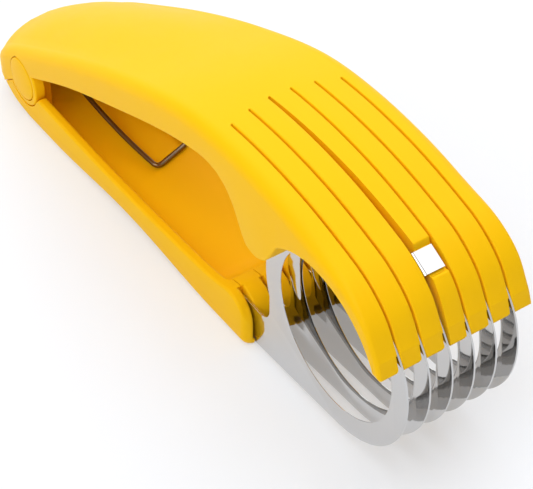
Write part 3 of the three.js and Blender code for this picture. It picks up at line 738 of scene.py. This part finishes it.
def build_upper(look):
    slot_round, tip_round = look.slot_round * 1000, look.tip_round * 1000
    body = upper_skin("upper_handle_shell", 0, TOP[-1, 0], REAR_EDGE)
    reach = HALF_W + OVERLAP
    outline = slab("outline", upper_outline(tip_round), -reach, reach, LOWER_EDGE)
    cut(body, outline, operation="INTERSECT")
    hollow = upper_skin("hollow", WALL, RING[0] - SLOT_REAR - FINGER_DEPTH + 1, 0)
    cut(hollow, block("rear_floor", (REAR_X, -HALF_W, -2 * PAST),
                      (SEAM_END[0], HALF_W, SEAM_END[1] + WALL)))
    cut(body, hollow, under_fingers())
    inside, outside, below = ARCH_R - 2, RING_R + 4, TIP_ANGLE / 3
    past_crease = [
        polar(RING, inside, CREASE_ANGLE - 0.5), polar(RING, outside, CREASE_ANGLE + 0.2),
        polar(RING, outside, below), polar(RING, inside, below)]
    tip_half = SLOT_W / 2 + TIP_INSET
    inward = unit(TIP_INNER - TIP_FRONT)
    under_tip = [TIP_FRONT - 2 * inward, TIP_FRONT, TIP_INNER, TIP_INNER + 2 * inward]
    for i in range(BLADES):
        y = blade_y(i)
        cut(body, slot_tool(y, CRISP_EDGE, slot_round))
        cut(body, slab("tip", past_crease, y - tip_half, y + SLOT_SHOWN / 2))
        middle, half = y + (SLOT_SHOWN / 2 - tip_half) / 2, (SLOT_SHOWN / 2 + tip_half) / 2
        cut(body, groove("tip_corner", under_tip, middle, half, tip_round, tip_round * TIP_FAR))
        rise = np.array([0, dome_at(TIP_FRONT[0], y)])
        face = [mix(CREASE, TIP_FRONT, share) + rise for share in (0, 0.5, 1, 2)]
        cut(body, groove("tip_edge", face, middle, half, CRISP_EDGE, slot_round * FACE_FAR))
    cut(body, tab_pocket(POCKET_EDGE), tab_relief())
    cut(body, bar("pin_hole", HINGE, PIN_R + GAP, -PAST, PAST))
    for side in (-1, 1):
        low, high = sorted((side * (HALF_W - CAP_DEPTH - GAP), side * PAST))
        cut(body, bar("cap_seat", HINGE, CAP_R + GAP, low, high, 96))
    return body


# Lower handle

def sole_at(x):
    lift = clamp((SOLE_LIFT_FROM - x) / SOLE_LIFT_RUN)
    share = clamp((x - REAR_LAND) / (FRONT_REACH - FRONT_LAND - REAR_LAND))
    return SOLE_LIFT * lift ** SOLE_LIFT_CURVE + SOLE_ARCH * math.sin(math.pi * share) ** 2


def rounded_end(x, end, radius):
    """How far a surface has turned away within radius of its end at x."""
    return radius * (1 - math.sqrt(1 - clamp(1 - (end - x) / radius) ** 2))


def lower_half_width_at(x):
    full = mix(HALF_W, FRONT_HALF_W, clamp(x / FRONT_REACH))
    return half_width_at(x, full, REAR_X) - rounded_end(x, FRONT_REACH, FRONT_EDGE)


def floor_at(x):
    climb = clamp((x - (FRONT_REACH - RIDGE_BACK - RAMP)) / RAMP)
    return mix(sole_at(x) + FLOOR_T, RIDGE_Z + 1, climb ** 2)


def rim_line():
    """Side view of the rim, from the knuckle over the nose to the front face."""
    rear = RIM_Z * 1.08
    rim = spline([
        (KNUCKLE_R + 1, rear), (FRONT_REACH * 0.387, RIM_Z), (FRONT_REACH * 0.735, RIM_Z * 1.1),
        (FRONT_REACH * 0.859, RIM_Z * 1.2), (NOSE[0], RIDGE_Z)], 0.6)
    shoulder = arc((KNUCKLE_R + 1, rear - 1), 1.0, 180, 90, 6)[:-1]
    return np.vstack([shoulder, rim, arc(NOSE, NOSE_R, 90, 0, 30)[1:]])


RIM = rim_line()


def lower_section(x, rim_round):
    """A section of the trough, with rounded bottom edges, a rounded rim and a coved floor."""
    half, rim = lower_half_width_at(x), np.interp(x, RIM[:, 0], RIM[:, 1])
    bottom = sole_at(x) + rounded_end(x, FRONT_REACH, FRONT_LIFT)
    inner = half - WALL
    back = clamp((FLOOR_END - KNUCKLE_R - x) / FLOOR_END)
    floor = min(rim - OVERLAP, mix(floor_at(x), rim, 1 - math.sqrt(1 - back ** 2)))
    edge = mix(SEAM_EDGE, SOLE_EDGE, smoothstep(x, -KNUCKLE_R, SOLE_LIFT_FROM))
    # No rounding takes more than its share of the height that is there.
    low = min(edge, half / 2, (rim - bottom) * 0.6)
    out = min(rim_round, (rim - bottom) * 0.3)
    lip, cove = min(rim_round, (rim - floor) * 0.45), min(FLOOR_EDGE, (rim - floor) * 0.5)
    turn = [(math.cos(a), math.sin(a)) for a in np.radians(np.linspace(0, 90, 8))]
    right = [(half - low + low * s, bottom + low - low * c) for c, s in turn]
    right += [(half - out + out * c, rim - out + out * s) for c, s in turn]
    right += [(inner + lip - lip * s, rim - lip + lip * c) for c, s in turn]
    right += [(inner - cove + cove * c, floor + cove - cove * s) for c, s in turn]
    return both_sides(x, right)


def build_lower(look):
    apart, floor_end = 0.3, FLOOR_END - KNUCKLE_R
    rear = SOLE_LIFT_FROM - SOLE_LIFT_RUN + apart
    xs = [*np.linspace(rear, -KNUCKLE_R - apart, 12)]
    xs += [floor_end - FLOOR_END * share for share in (1, 0.995, 0.97, 0.9, 0.8, 0.65, 0.45, 0.2)]
    xs += [*np.linspace(floor_end, KNUCKLE_R, 10)[:-1], *(p[0] for p in RIM)]
    body = loft("lower_handle_trough", [lower_section(x, look.rim_round * 1000) for x in xs])
    seam = math.radians(SEAM_ANGLE)
    drop = SEAM_GAP * np.array([-math.sin(seam), math.cos(seam)])
    far = polar(HINGE, PAST, SEAM_ANGLE) + drop
    above = [HINGE + drop, far, (far[0], 2 * PAST), (HINGE[0] + drop[0], 2 * PAST)]
    cut(body, slab("above_seam", above, -PAST, PAST))
    inside = HALF_W - WALL
    ear_end = inside - EAR_SETBACK
    for side in (-1, 1):
        low, high = sorted((side * (inside - GAP), side * PAST))
        cut(body, bar("knuckle_seat", HINGE, KNUCKLE_R + GAP, low, high, 96))
        low, high = sorted((side * ear_end, side * (ear_end - EAR_WIDTH)))
        foot = [(-EAR_R, sole_at(0) + FLOOR_T / 2), (EAR_R, sole_at(0) + FLOOR_T / 2)]
        ear = slab("ear", [*foot, *arc(HINGE, EAR_R, 0, 180, 32)], low, high, EAR_EDGE)
        cut(body, ear, operation="UNION")
    cut(body, bar("pin_hole", HINGE, PIN_R + GAP, -PAST, PAST))
    slit_rear = FRONT_REACH - TANG_BITE - GAP
    start = math.degrees(math.acos((slit_rear - NOSE[0]) / NOSE_R))
    over_nose = [*arc(NOSE, NOSE_R, start, 0, 20), (FRONT_REACH, NOSE[1] - 2), (FRONT_REACH, 2.0)]
    line_rear = FRONT_REACH - RIDGE_BACK - LINE_BACK
    for i in range(BLADES):
        y, half = blade_y(i), SLIT_W / 2
        cut(body, block("slit", (slit_rear, y - half, -1), (RING[0], y + half, PAST)))
        low = OUTER_SLIT_EDGE if i == 0 else SLIT_EDGE
        high = OUTER_SLIT_EDGE if i == BLADES - 1 else SLIT_EDGE
        cut(body, groove("slit_edge", over_nose, y, half, low, high))
        cut(body, block("slit_line", (line_rear, y - LINE_HALF, RIDGE_Z - LINE_DEPTH),
                        (slit_rear + 1, y + LINE_HALF, PAST)))
    cut(body, bar("rod_hole", ROD, ROD_R + GAP, -OUTER_BLADE_Y - WALL * 2 / 3, PAST))
    return body


# Ring blades

SETBACK_FROM = (TIP_ANGLE - 10, CREASE_ANGLE + 8)  # degrees over which the edge goes in
SETBACK_TO = (100, LOBE_ANGLE + 10)  # and over which it comes out again


def ring_edge(degrees):
    """Radius of a blade's outer edge, which is set back where it runs inside a slot."""
    inside = smoothstep(degrees, *SETBACK_FROM) * (1 - smoothstep(degrees, *SETBACK_TO))
    return RING_R - SLOT_SETBACK * inside


def blade_outline():
    heel = np.array([FRONT_REACH - HEEL_BITE, TANG_BOTTOM])
    away = RING - heel
    tangent = math.atan2(away[1], away[0]) - math.asin(RING_R / np.linalg.norm(away))
    start, end = math.degrees(tangent) - 90, 180 + math.degrees(math.acos(NECK_BACK / RING_R))
    notch = (RING[0] - NECK_BACK - NOTCH_R, TANG_TOP + NOTCH_R)
    rear = FRONT_REACH - TANG_BITE
    outer = [polar(RING, ring_edge(a), a) for a in np.linspace(start, end, 181)]
    return [(rear, TANG_BOTTOM), heel, *outer, *arc(notch, NOTCH_R, 0, -90, 16), (rear, TANG_TOP)]


def bore_tool():
    """The bore, ground to an edge in the middle of the blade's thickness."""
    half, wide, hub, core, end = BLADE_T / 2, BORE_R + EDGE_GRIND, 0.5, 2.0, 1
    right = [(BORE_R, half / 4), (wide, half), (wide, end), (hub, end)]
    tool = turned("bore", RING, [(r, -y) for r, y in reversed(right)] + right, 160)
    return cut(tool, bar("core", RING, core, -end, end), operation="UNION")


def blade_row_tree():
    """Geometry Nodes: one blade repeated along Y about the middle of the row."""
    tree = bpy.data.node_groups.new("blade_row", "GeometryNodeTree")
    for name, way, kind in (
            ("Geometry", "INPUT", "Geometry"), ("Count", "INPUT", "Int"),
            ("Pitch", "INPUT", "Float"), ("Steel", "INPUT", "Material"),
            ("Geometry", "OUTPUT", "Geometry")):
        tree.interface.new_socket(name, in_out=way, socket_type="NodeSocket" + kind)
    made = {name: tree.nodes.new(kind) for name, kind in (
        ("given", "NodeGroupInput"), ("out", "NodeGroupOutput"), ("line", "GeometryNodeMeshLine"),
        ("offset", "ShaderNodeCombineXYZ"), ("start", "ShaderNodeCombineXYZ"),
        ("spaces", "ShaderNodeMath"), ("half", "ShaderNodeMath"), ("first", "ShaderNodeMath"),
        ("place", "GeometryNodeInstanceOnPoints"), ("real", "GeometryNodeRealizeInstances"),
        ("paint", "GeometryNodeSetMaterial"))}
    made["spaces"].operation = "SUBTRACT"
    made["spaces"].inputs[1].default_value = 1
    made["half"].operation = made["first"].operation = "MULTIPLY"
    made["half"].inputs[1].default_value = -0.5
    for source, output, target, socket in (
            ("given", "Count", "line", "Count"), ("given", "Pitch", "offset", "Y"),
            ("offset", 0, "line", "Offset"), ("given", "Count", "spaces", 0),
            ("given", "Pitch", "half", 0), ("spaces", 0, "first", 0), ("half", 0, "first", 1),
            ("first", 0, "start", "Y"), ("start", 0, "line", "Start Location"),
            ("line", 0, "place", "Points"), ("given", "Geometry", "place", "Instance"),
            ("place", 0, "real", 0), ("real", 0, "paint", "Geometry"),
            ("given", "Steel", "paint", "Material"), ("paint", 0, "out", 0)):
        tree.links.new(made[source].outputs[output], made[target].inputs[socket])
    return tree


def build_blades():
    half = BLADE_T / 2
    row = slab("ring_blades", blade_outline(), -half, half, CRISP_EDGE)
    cut(row, bore_tool(), bar("rod_hole", ROD, ROD_R + GAP, -1, 1))
    tree = blade_row_tree()
    change = row.modifiers.new("blade_row", "NODES")
    change.node_group = tree
    given = {"Count": BLADES, "Pitch": PITCH / 1000, "Steel": material("blade_steel")}
    for socket in tree.interface.items_tree:
        if socket.in_out == "INPUT" and socket.name in given:
            change[socket.identifier] = given[socket.name]
    apply_modifiers(row)
    return row


def build_tab():
    """The stop tab, folded over from a lug on the third ring."""
    y, half, top = blade_y(TAB_BLADE), BLADE_T / 2, RING_R + TAB_RISE
    path = [(y, RING_R - TAB_ROOT)]
    for a in np.radians(np.linspace(0, 90, 8)):
        path.append((y + TAB_BEND * (1 - math.cos(a)), top - half - TAB_BEND * (1 - math.sin(a))))
    path = np.array(path + [(y + TAB_REACH, top - half)])
    run = np.gradient(path, axis=0)
    rings = []
    for p, t in zip(path, run):
        side = unit(np.array([-t[1], t[0]])) * half
        ring = []
        for sign, along in ((1, -1), (1, 1), (-1, 1), (-1, -1)):
            across, radius = p + side * sign
            x, z = tab_place(along * TAB_LENGTH / 2, radius)
            ring.append((x, across, z))
        rings.append(np.array(ring))
    return loft("stop_tab", rings)


# Hinge and spring

def on_hinge(name, profile):
    """A solid turned about the hinge axis, with its points on the axis joined."""
    piece = turned(name, HINGE, profile, 96)
    with editing(piece.data) as bm:
        bmesh.ops.remove_doubles(bm, verts=bm.verts, dist=WELD_M / 20)
        bmesh.ops.recalc_face_normals(bm, faces=bm.faces)
    return piece


def build_cap(side):
    low = HALF_W - CAP_DEPTH
    profile = [(0, low), (CAP_R, low), (CAP_R, HALF_W - CAP_EDGE)]
    for a in np.radians(np.linspace(8, 90, 14)):
        profile.append((CAP_R * math.cos(a), HALF_W + CAP_DOME * math.sin(a)))
    name = "hinge_cap_near_dome" if side < 0 else "hinge_cap_far_dome"
    return on_hinge(name, [(r, side * y) for r, y in profile])


def build_pin():
    end = HALF_W - CAP_DEPTH - GAP
    half = [(PIN_R, end - PIN_BEVEL), (PIN_R - PIN_BEVEL, end), (0, end)]
    return on_hinge("hinge_pin_round", [(r, -y) for r, y in reversed(half)] + half)


def spring_half(side):
    """Points of the wire on one side: tail, coil, leg and half the bail."""
    corner_x = BAIL_REACH - side * BAIL_SKEW
    bail_z = floor_at(corner_x) + WIRE_R + GAP
    roof = top_at(TAIL_REACH) + dome_at(TAIL_REACH, LEG_OFFSET / 2) - WALL
    tail = np.array([TAIL_REACH, roof - WIRE_R - 2 * GAP])

    def bearing(p):
        away = p - HINGE
        return math.atan2(away[1], away[0]), math.acos(COIL_R / np.linalg.norm(away))

    toward, turn = bearing(tail)
    start = toward + turn
    toward, turn = bearing(np.array([corner_x - BAIL_BEND, bail_z]))
    end = toward - turn + 2 * math.pi * (COIL_TURNS + 1)
    inner = LEG_OFFSET - COIL_PITCH * (end - start) / (2 * math.pi)

    def on_coil(t):
        a = mix(start, end, t)
        x, z = COIL_R * math.cos(a), HINGE_Z + COIL_R * math.sin(a)
        return np.array([x, side * mix(inner, LEG_OFFSET, t), z])

    tip = np.array([tail[0], side * inner, tail[1]])
    path = [mix(tip, on_coil(0), t) for t in (0, 0.25, 0.5, 0.75)]
    path += [on_coil(t) for t in np.linspace(0, 1, 110)]
    corner = np.array([corner_x, side * BAIL_HALF, bail_z])
    middle = np.array([BAIL_REACH, 0.0, floor_at(BAIL_REACH) + WIRE_R + GAP])
    leg = path[-1]
    into, out = corner + unit(leg - corner) * BAIL_BEND, corner + unit(middle - corner) * BAIL_BEND
    sag = np.array([0.0, 0.0, -4 * LEG_SAG])  # t (1 - t) is a quarter at the middle
    path += [mix(leg, into, t) + sag * t * (1 - t) for t in np.linspace(0.08, 0.92, 12)]
    path += [(1 - t) ** 2 * into + 2 * t * (1 - t) * corner + t * t * out
             for t in np.linspace(0, 1, 12)]
    return path


def build_spring():
    path = np.array(spring_half(-1) + spring_half(1)[::-1])
    path[:, 1] += SPRING_SHIFT
    side = np.array([0.0, 1.0, 0.0])
    rings = []
    for i, (p, run) in enumerate(zip(path, np.gradient(path, axis=0))):
        run = unit(run)
        side = unit(side - run * side.dot(run))
        other = np.cross(run, side)
        size = WIRE_R if 0 < i < len(path) - 1 else WIRE_R * WIRE_TIP
        rings.append(np.array([p + size * (math.cos(a) * side + math.sin(a) * other)
                               for a in np.linspace(0, 2 * math.pi, 16, endpoint=False)]))
    return loft("return_spring_wire", rings)


# Stage

CAMERA_TURN, CAMERA_LIFT = 0.97865802, 0.76696199  # radians round from the near side, and up
CAMERA_AWAY, CAMERA_RIGHT, CAMERA_UP = 0.400488, -0.028954, 0.015405
CAMERA_LOOKS_AT = (0.1463, 0.0, 0.0319)  # from the hinge axis
FOCAL_PX, FRAME_PX, SENSOR_MM = 1700, 533, 36
OVERHEAD_SHADE = 0.7  # how much darker than the white horizon the studio is seen overhead
FLOOR_SIZE, FLOOR_FADE = 6, (0.25, 1.0)  # metres; over the second the floor turns white
AIM = Vector((0, 0, 0.02))  # where the lamps point


def softbox(name, place, size, power):
    lamp = bpy.data.lights.new(name, "AREA")
    lamp.shape = "RECTANGLE"
    lamp.size, lamp.size_y = size
    lamp.energy = power
    box = bpy.data.objects.new(name, lamp)
    bpy.context.scene.collection.objects.link(box)
    box.location = place
    box.rotation_euler = (AIM - box.location).to_track_quat("-Z", "Y").to_euler()


def floor_paper(look):
    """White paper, seen lifted towards white with a soft shadow, and all white far off."""
    make = Tree(bpy.data.materials.new("Floor paper"))
    paper = make.node("ShaderNodeBsdfPrincipled", {}, {
        "Base Color": (0.88, 0.91, 0.97, 1), "Roughness": 0.9, "Specular IOR Level": 0.1})
    white = make.node("ShaderNodeEmission", {}, {"Color": (1, 1, 1, 1), "Strength": 1.0})
    away = make.distance().ramp(*FLOOR_FADE) * (1 - look.floor_lift)
    lift = make.seen_white() * (away + look.floor_lift)
    return make.surface(make.node("ShaderNodeMixShader", {}, {0: lift, 1: paper, 2: white}))


def build_stage(look):
    scene = bpy.context.scene
    scene.view_settings.view_transform = "Standard"
    bpy.ops.mesh.primitive_plane_add(size=FLOOR_SIZE, location=(0, 0, 0))
    floor = bpy.context.object
    floor.name = "floor"
    floor.data.materials.append(floor_paper(look))
    scene.world = bpy.data.worlds.new("studio")
    make = Tree(scene.world)
    white = (1 - look.room) - make.height() * OVERHEAD_SHADE
    strength = make.seen_white() * white + look.room
    sky = make.node("ShaderNodeBackground", {}, {"Color": (1, 1, 1, 1), "Strength": strength})
    make.surface(sky, "ShaderNodeOutputWorld")
    softbox("softbox_top", place=(-0.5, 0.35, 1.05), size=(2.2, 2.2), power=look.top_power)
    softbox("softbox_near", place=(0.3, -0.7, 0.95), size=(1.0, 1.0), power=look.near_power)
    camera = bpy.data.cameras.new("camera")
    camera.sensor_width = SENSOR_MM
    camera.lens = SENSOR_MM * FOCAL_PX / FRAME_PX
    camera.clip_start = 0.01
    eye = bpy.data.objects.new("camera", camera)
    scene.collection.objects.link(eye)
    back = Vector((math.sin(CAMERA_TURN) * math.cos(CAMERA_LIFT),
                   -math.cos(CAMERA_TURN) * math.cos(CAMERA_LIFT), math.sin(CAMERA_LIFT)))
    right = Vector((math.cos(CAMERA_TURN), math.sin(CAMERA_TURN), 0))
    up = back.cross(right)
    place = back * CAMERA_AWAY + right * CAMERA_RIGHT + up * CAMERA_UP + Vector(CAMERA_LOOKS_AT)
    place.x += HINGE_M[0]
    eye.matrix_world = Matrix.Translation(place) @ Matrix((right, up, back)).transposed().to_4x4()
    scene.camera = eye


# Add-on

def colour(name, description, default):
    return bpy.props.FloatVectorProperty(
        name=name, description=description, subtype="COLOR", size=3, min=0, max=1, default=default)


def share(name, description, default):
    return bpy.props.FloatProperty(
        name=name, description=description, subtype="FACTOR", min=0, max=1, default=default)


def length(name, description, default):
    return bpy.props.FloatProperty(
        name=name, description=description, subtype="DISTANCE", unit="LENGTH", min=0,
        default=default)


def power(name, description, default):
    return bpy.props.FloatProperty(
        name=name, description=description, subtype="POWER", unit="POWER", min=0, default=default)


class SlicerLooks(bpy.types.PropertyGroup):
    plastic: colour("Plastic colour", "Colour of the moulded handles", (1.0, 0.575, 0.004))
    plastic_roughness: share("Plastic roughness", "How matt the handles are", 0.42)
    steel: colour("Steel colour", "Colour of the ring blades", (0.61, 0.605, 0.60))
    steel_roughness: share("Steel roughness", "How matt the blades are", 0.06)
    # The wire colour is dark steel with a brown tint that is a painted reflection of the orange
    # trough.
    wire: colour("Wire colour", "Colour of the spring wire", (0.25, 0.185, 0.12))
    slot_round: length("Slot edges", "Radius of the far edges of the finger slots", 0.00035)
    tip_round: length("Finger tips", "Radius of the finger tips' lower corners", 0.0013)
    rim_round: length("Rim", "Radius of the lower handle's rim", 0.0009)
    floor_lift: share("Floor lift", "How far the shadow on the floor is lightened", 0.42)
    room: share("Room light", "Strength of the even light all round", 0.25)
    top_power: power("Top softbox", "Power of the softbox overhead", 21.5)
    near_power: power("Near softbox", "Power of the softbox above the near side", 7.4)


class SLICER_OT_stage(bpy.types.Operator):
    """Add the floor, the studio lights and the camera"""
    bl_idname = "slicer.stage"
    bl_label = "Stage"

    def execute(self, context):
        build_stage(looks())
        return {"FINISHED"}


class SLICER_OT_upper(bpy.types.Operator):
    """Build the fingered upper handle"""
    bl_idname = "slicer.upper_handle"
    bl_label = "Upper handle"

    def execute(self, context):
        finish_piece(build_upper(looks()), "yellow_plastic", "upper", "upper_handle")
        return {"FINISHED"}


class SLICER_OT_lower(bpy.types.Operator):
    """Build the trough-shaped lower handle"""
    bl_idname = "slicer.lower_handle"
    bl_label = "Lower handle"

    def execute(self, context):
        finish_piece(build_lower(looks()), "yellow_plastic", "lower", "lower_handle")
        return {"FINISHED"}


class SLICER_OT_blades(bpy.types.Operator):
    """Build the row of ring blades and the folded stop tab"""
    bl_idname = "slicer.ring_blades"
    bl_label = "Ring blades"

    def execute(self, context):
        nodes = [f"ring_blade_{i + 1}" for i in range(BLADES)]
        finish_piece(build_blades(), "blade_steel", "lower", *nodes)
        finish_piece(build_tab(), "blade_steel", "lower", nodes[TAB_BLADE])
        rod = frame["nodes"]["blade_rod"]
        rod.data.materials.clear()
        rod.data.materials.append(material("blade_steel"))
        return {"FINISHED"}


class SLICER_OT_hinge(bpy.types.Operator):
    """Build the hinge pin and its two domed caps"""
    bl_idname = "slicer.hinge"
    bl_label = "Hinge"

    def execute(self, context):
        for side, node in ((-1, "hinge_cap_near"), (1, "hinge_cap_far")):
            finish_piece(build_cap(side), "yellow_plastic", "upper", node)
        finish_piece(build_pin(), "blade_steel", "upper", "hinge_pin")
        return {"FINISHED"}


class SLICER_OT_spring(bpy.types.Operator):
    """Build the wound return spring"""
    bl_idname = "slicer.return_spring"
    bl_label = "Return spring"

    def execute(self, context):
        coil_top, roof = ((HINGE_M[0], 0, HINGE_M[2] + z / 1000) for z in TAILS_BEND)
        finish_piece(build_spring(), "spring_wire", "lower", "return_spring", sharp=60,
                     bends_from=coil_top, bends_to=roof)
        return {"FINISHED"}


STEPS = (SLICER_OT_stage, SLICER_OT_upper, SLICER_OT_lower, SLICER_OT_blades, SLICER_OT_hinge,
         SLICER_OT_spring)


class SLICER_PT_panel(bpy.types.Panel):
    """Lists the slicer's looks and its building steps"""
    bl_idname = "SLICER_PT_panel"
    bl_label = "Banana slicer"
    bl_space_type = "VIEW_3D"
    bl_region_type = "UI"
    bl_category = "Slicer"

    def draw(self, context):
        for name in SlicerLooks.__annotations__:
            self.layout.prop(context.scene.slicer_looks, name)
        for step in STEPS:
            self.layout.operator(step.bl_idname)


CLASSES = (SlicerLooks, *STEPS, SLICER_PT_panel)


def register():
    for cls in CLASSES:
        bpy.utils.register_class(cls)
    bpy.types.Scene.slicer_looks = bpy.props.PointerProperty(type=SlicerLooks)


def unregister():
    del bpy.types.Scene.slicer_looks
    for cls in reversed(CLASSES):
        bpy.utils.unregister_class(cls)


def main():
    register()
    bpy.ops.slicer.stage()
    bpy.ops.slicer.upper_handle()
    bpy.ops.slicer.lower_handle()
    bpy.ops.slicer.ring_blades()
    bpy.ops.slicer.hinge()
    bpy.ops.slicer.return_spring()


if __name__ == "__main__":
    main()
